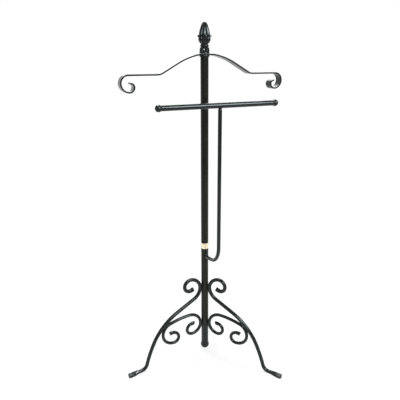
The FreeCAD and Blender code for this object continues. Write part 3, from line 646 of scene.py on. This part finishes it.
# One half from the middle outwards: the arch, the slope, the shoulder and the curl
half = Bending(hanger, list(hanger.edges), 0, hanger_middle, 0)
half.run(17.2)
half.bend(20.0, 9.0, -1, 3.0)
half.bend(185.0, 20.0, -1, 1.6)
half.run(49.7)
half.bend(30.0, 29.0, 1, 3.0)
half.run(74.6)
half.bend(20.3, 90.0, -1, 5.0)
half.bend(21.5, 90.0, -1, 5.0)
half.bend(12.9, 90.0, -1, 6.0)
half.bend(9.0, 100.0, -1, 6.0)
close_end(hanger, half.ring, 0.5)
whole_half = list(hanger.verts) + list(hanger.edges) + list(hanger.faces)
bmesh.ops.mirror(hanger, geom=whole_half, axis="X", merge_dist=0.01 * MM)
bmesh.ops.translate(hanger, vec=(bore_offset * MM, 0, 0), verts=hanger.verts)
fit_piece(hanger, "hanger_bar", black_paint, "mast", ["hanger"])


# The flanged plug that the hanger sits on: turned steel, pressed into the pole's top and
# painted with it. Its flange shows as a fine step under the hanger.
plug = bmesh.new()
plug_bore = [(4.02, 927), (4.02, 897)]
plug_shank = [(8.48, 897), (9.48, 898), (9.48, 923)]
plug_flange = [(13.1, 923), (13.4, 923.15), (13.5, 923.5)]
plug_flange += [(13.5, 926.5), (13.4, 926.85), (13.1, 927)]
turn_profile(plug, plug_bore[1:] + plug_shank + plug_flange + plug_bore, 64)
fit_piece(plug, "pole_top_plug", black_paint, "mast", ["top_plug"])


# The crown collar under the finial: cast iron, a waisted ring with eight short leaves that stand
# over a rope of twelve lumps. The stud clamps it on the hanger, and it is painted with the stand.
def leaf_blade(shape, spine, widths, thickness, ridge, curl, turn, skew=0.0):
    """A leaf round the pole's axis. Its middle follows (radius, height) points, with half its
    width there in degrees; it has a raised ridge and edges that curl in towards its tip."""
    rows = len(spine) - 1
    blade = bmesh.ops.create_grid(shape, x_segments=8, y_segments=rows, size=1.0)["verts"]
    for vertex in blade:
        across, along = vertex.co.x, (vertex.co.y + 1) / 2 * rows
        row = min(rows - 1, int(along + 1e-6))
        part = along - row
        radius = spine[row][0] * (1 - part) + spine[row + 1][0] * part
        height = spine[row][1] * (1 - part) + spine[row + 1][1] * part
        width = widths[row] * (1 - part) + widths[row + 1] * part
        radius += ridge * (1 - abs(across)) ** 2 - curl * across * across * (along / rows)
        angle = math.radians(turn + skew * along / rows + width * across)
        vertex.co = Vector((radius * math.cos(angle), radius * math.sin(angle), height)) * MM
    faces = list({face for vertex in blade for face in vertex.link_faces})
    bmesh.ops.recalc_face_normals(shape, faces=faces)
    bmesh.ops.solidify(shape, geom=faces, thickness=thickness * MM)


def cast_lump(shape, radius, height, turn, tilt, size):
    """A rounded lump on a casting, with half its depth, half its width and half its height."""
    lump = bmesh.ops.create_uvsphere(shape, u_segments=12, v_segments=8, radius=MM)["verts"]
    bmesh.ops.scale(shape, vec=size, verts=lump)
    tilted = Matrix.Rotation(math.radians(tilt), 3, "X")
    bmesh.ops.rotate(shape, verts=lump, cent=(0, 0, 0), matrix=tilted)
    bmesh.ops.translate(shape, vec=(radius * MM, 0, height * MM), verts=lump)
    turned = Matrix.Rotation(math.radians(turn), 3, "Z")
    bmesh.ops.rotate(shape, verts=lump, cent=(0, 0, 0), matrix=turned)


casting_turn = 77
crown_profile = [
    (4.25, 931), (12.0, 931), (12.5, 931.5), (12.6, 933.8), (11.8, 935.4), (11.2, 936.5),
    (11.1, 938.5), (10.7, 940.5), (9.9, 942.2), (9.6, 943.5), (4.25, 943.5), (4.25, 931),
]
crown = bmesh.new()
turn_profile(crown, crown_profile, 64)
for rope_index in range(12):
    rope_turn = casting_turn + rope_index * 30
    cast_lump(crown, 12.1, 933.2, rope_turn, 58, (1.3, 1.35, 3.2))
crown_spine = [
    (12.3, 934.0), (12.6, 936.5), (12.2, 939.5), (11.6, 942.2), (11.0, 944.6), (10.4, 946.6),
]
crown_widths = [15, 20, 21, 17, 10, 2]
for leaf_index in range(8):
    leaf_turn = casting_turn + 11 + leaf_index * 45
    leaf_blade(crown, crown_spine, crown_widths, 1.3, 1.5, 0.9, leaf_turn, skew=14)
fit_piece(crown, "crown_collar_casting", black_paint, "mast", ["crown_collar"])


# The finial: one iron casting of a bead, a cup of four curled leaves with raised rims and a bud
# of twelve closed petals, screwed down on the stud and painted with the stand.
throat_radius, bead_depth, bead_half_height = 10.0, 1.9, 2.6
throat = [(4.02, 943.5), (9.9, 943.5), (throat_radius, 945.6), (throat_radius, 947.6)]
bead = [
    (
        throat_radius + bead_depth * math.sin(math.radians(angle)),
        950.5 - bead_half_height * math.cos(math.radians(angle)),
    )
    for angle in range(15, 166, 15)
]
core = [
    (throat_radius, 953.3), (throat_radius, 955.0), (10.7, 956.6), (11.9, 958.8), (12.6, 961.6),
    (12.9, 964.4), (12.9, 967.5), (12.8, 971.0), (12.6, 975.0), (11.0, 985.0), (7.4, 998.0),
    (0, 1003.5),
]
finial = bmesh.new()
turn_profile(finial, throat + bead + core, 64)
petal_spine = [
    (12.8, 970.5), (13.1, 975.0), (13.0, 979.0), (12.5, 983.0), (11.6, 987.0), (10.4, 991.0),
    (9.2, 995.0), (8.0, 998.8), (6.6, 1002.2), (5.0, 1005.0), (3.0, 1007.0), (0.6, 1008.1),
]
petal_widths = [8, 13] + [15.2] * 10
for petal_index in range(12):
    petal_turn = casting_turn + 15 + petal_index * 30
    leaf_blade(finial, petal_spine, petal_widths, 1.0, 1.4, 0.5, petal_turn)
# Four broad leaves make the cup, and four narrow ones show between them
cup_spine = [
    (10.6, 956.0), (12.4, 958.4), (13.6, 961.2), (14.0, 964.2), (14.3, 967.2), (15.0, 970.0),
    (15.9, 972.2), (16.7, 974.2), (17.0, 975.8),
]
cup_widths = [14, 24, 31, 35, 34, 28, 21, 15, 9]
inner_spine = [
    (10.6, 956.0), (13.2, 959.6), (14.4, 963.5), (14.8, 967.3), (14.8, 970.0), (15.1, 972.4),
]
inner_widths = [11, 17, 18, 14, 8, 2]


def rim_of_leaf(shape, turn):
    """The raised round rim of a cup leaf, bent to an arch and then wrapped on the cup."""
    before = set(shape.verts)
    half_width, shoulder, rim_radius = 6.2, 963.1, 1.25
    cup_radius, cup_belly = 15.0, 965.5
    ring = start_bar(shape, (0, 0, shoulder + half_width), (0, 1, 0), (0, 0, 1), rim_radius, 12)
    for heading, side in ((0, -1), (180, 1)):
        branch = Bending(shape, list(ring), 0, shoulder + half_width, heading)
        branch.bend(half_width, 90.0, side, 15.0)
        branch.run(2.6)
        branch.run(2.6)
        close_end(shape, branch.ring, 0.4)
    for vertex in set(shape.verts) - before:
        low = max(0.0, cup_belly - vertex.co.z / MM)
        reach = cup_radius - 0.06 * low * low + vertex.co.y / MM
        angle = math.radians(turn) + vertex.co.x / (cup_radius * MM)
        place = Vector((reach * math.cos(angle), reach * math.sin(angle), 0)) * MM
        vertex.co = place + Vector((0, 0, vertex.co.z))


for cup_index in range(4):
    cup_turn = casting_turn + cup_index * 90
    leaf_blade(finial, cup_spine, cup_widths, 1.8, 0.5, 0.7, cup_turn)
    cast_lump(finial, 16.4, 974.2, cup_turn, 0, (2.3, 4.2, 3.0))
    rim_of_leaf(finial, cup_turn)
    leaf_blade(finial, inner_spine, inner_widths, 1.6, 1.3, 0.6, cup_turn + 45)
fit_piece(finial, "finial_casting", black_paint, "mast", ["finial"])


# The round white studio floor that the stand is on. Camera, glossy and transmission rays see it
# as white paper, wholly so towards its rim, and near the stand it keeps the soft shadow.
def white_floor():
    """Matt white paper, white to the camera from 0.8 m round the stand and outwards."""
    material = bpy.data.materials.new("white_studio_paper")
    material.use_nodes = True
    tree = material.node_tree
    tree.nodes.clear()
    paper = add_node(tree, "ShaderNodeBsdfDiffuse", {"Color": (0.82, 0.82, 0.82, 1)})
    white = add_node(tree, "ShaderNodeEmission", {"Color": (1, 1, 1, 1), "Strength": 1.0})
    path = add_node(tree, "ShaderNodeLightPath")
    seen = add_node(
        tree,
        "ShaderNodeMath",
        {"operation": "MAXIMUM"},
        {0: (path, "Is Camera Ray"), 1: (path, "Is Glossy Ray")},
    )
    seen_through = add_node(
        tree,
        "ShaderNodeMath",
        {"operation": "MAXIMUM"},
        {0: (seen, "Value"), 1: (path, "Is Transmission Ray")},
    )
    place = add_node(tree, "ShaderNodeTexCoord")
    reach = add_node(tree, "ShaderNodeVectorMath", {"operation": "LENGTH"}, {0: (place, "Object")})
    fading = {"From Min": 0.45, "From Max": 0.8, "To Min": 0.8, "To Max": 1.0}
    rim = add_node(
        tree,
        "ShaderNodeMapRange",
        {"interpolation_type": "SMOOTHSTEP", **fading},
        {"Value": (reach, "Value")},
    )
    share = add_node(
        tree,
        "ShaderNodeMath",
        {"operation": "MULTIPLY"},
        {0: (seen_through, "Value"), 1: (rim, "Result")},
    )
    mixed = add_node(
        tree,
        "ShaderNodeMixShader",
        (),
        {0: (share, "Value"), 1: (paper, "BSDF"), 2: (white, "Emission")},
    )
    add_node(tree, "ShaderNodeOutputMaterial", (), {"Surface": (mixed, "Shader")})
    return material


floor_radius = 2.2
floor_shape = bmesh.new()
bmesh.ops.create_circle(floor_shape, cap_ends=True, segments=96, radius=floor_radius)
floor_mesh = bpy.data.meshes.new("studio_floor")
floor_shape.to_mesh(floor_mesh)
floor_shape.free()
floor_mesh.materials.append(white_floor())
floor = bpy.data.objects.new("studio_floor", floor_mesh)
bpy.context.scene.collection.objects.link(floor)


# The surroundings: the camera sees plain white, the paint and the brass reflect a white backdrop
# behind and a half bright room in front, and a little even light reaches the shaded sides.
world = bpy.data.worlds.new("studio_surroundings")
bpy.context.scene.world = world
world.use_nodes = True
room = world.node_tree
room.nodes.clear()
room_path = add_node(room, "ShaderNodeLightPath")
room_place = add_node(room, "ShaderNodeTexCoord")
room_side = add_node(room, "ShaderNodeSeparateXYZ", (), {"Vector": (room_place, "Generated")})
backdrop_share = add_node(
    room,
    "ShaderNodeMapRange",
    {"From Min": -0.1, "From Max": 0.5, "To Min": 0.5, "To Max": 1.0},
    {"Value": (room_side, "Y")},
)
glossy_part = add_node(
    room,
    "ShaderNodeMix",
    {"data_type": "FLOAT", "A_Float": 0.2},
    {"Factor_Float": (room_path, "Is Glossy Ray"), "B_Float": (backdrop_share, "Result")},
)
room_seen = add_node(
    room,
    "ShaderNodeMath",
    {"operation": "MAXIMUM"},
    {0: (room_path, "Is Camera Ray"), 1: (room_path, "Is Transmission Ray")},
)
room_strength = add_node(
    room,
    "ShaderNodeMix",
    {"data_type": "FLOAT", "B_Float": 1.0},
    {"Factor_Float": (room_seen, "Value"), "A_Float": (glossy_part, "Result_Float")},
)
room_light = add_node(
    room,
    "ShaderNodeBackground",
    {"Color": (1, 1, 1, 1)},
    {"Strength": (room_strength, "Result_Float")},
)
add_node(room, "ShaderNodeOutputWorld", (), {"Surface": (room_light, "Background")})


# Four soft studio lamps: a main one in front on the right, a weaker one in front on the left, one
# over the stand and a wide dim one behind it. The first three draw lines of light on the bars.
def soft_box(name, place, target, width, height, power):
    """A rectangular studio lamp that faces a point, in metres and watts."""
    lamp = bpy.data.lights.new(name, "AREA")
    lamp.shape = "RECTANGLE"
    lamp.size, lamp.size_y, lamp.energy = width, height, power
    holder = bpy.data.objects.new(name, lamp)
    holder.location = place
    facing = Vector(target) - Vector(place)
    holder.rotation_euler = facing.to_track_quat("-Z", "Y").to_euler()
    bpy.context.scene.collection.objects.link(holder)


soft_box("soft_box_front_right", (0.97, -1.85, 1.9), (0, 0, 0.75), 1.0, 1.15, 62)
soft_box("soft_box_front_left", (-0.55, -2.2, 1.75), (0, 0, 0.4), 0.7, 0.8, 22)
soft_box("soft_box_over", (-0.2, 0.7, 2.45), (0, 0.25, 0.4), 0.5, 1.3, 52)
soft_box("soft_box_behind", (0.95, 1.95, 1.85), (0, -0.1, 0), 2.4, 1.1, 22)


# The camera stands in front of the stand on its left, at the height of the hanger's slopes, and
# looks down by 18.5 degrees so that the whole stand is in the picture. Its angles are in radians.
sensor_width, picture_width, focal_length = 36.0, 400, 410.9
camera_place = Vector((-475.5, -1045.9, 908.4)) * MM
bearing = math.radians(90 + tripod_turn) + 0.0120
pitch, roll = 0.3224, -0.0051
camera_data = bpy.data.cameras.new("photograph_camera")
camera_data.sensor_width = sensor_width
camera_data.lens = sensor_width * focal_length / picture_width
camera = bpy.data.objects.new("photograph_camera", camera_data)
looking = Vector(
    (math.cos(bearing) * math.cos(pitch), math.sin(bearing) * math.cos(pitch), -math.sin(pitch))
)
level_right = Vector((math.sin(bearing), -math.cos(bearing), 0))
level_up = level_right.cross(looking)
camera_right = level_right * math.cos(roll) + level_up * math.sin(roll)
camera_up = level_up * math.cos(roll) - level_right * math.sin(roll)
camera_turn = Matrix((camera_right, camera_up, -looking)).transposed().to_4x4()
camera_turn.translation = camera_place
camera.matrix_world = camera_turn
bpy.context.scene.collection.objects.link(camera)
bpy.context.scene.camera = camera

bpy.context.scene.view_settings.view_transform = "Standard"
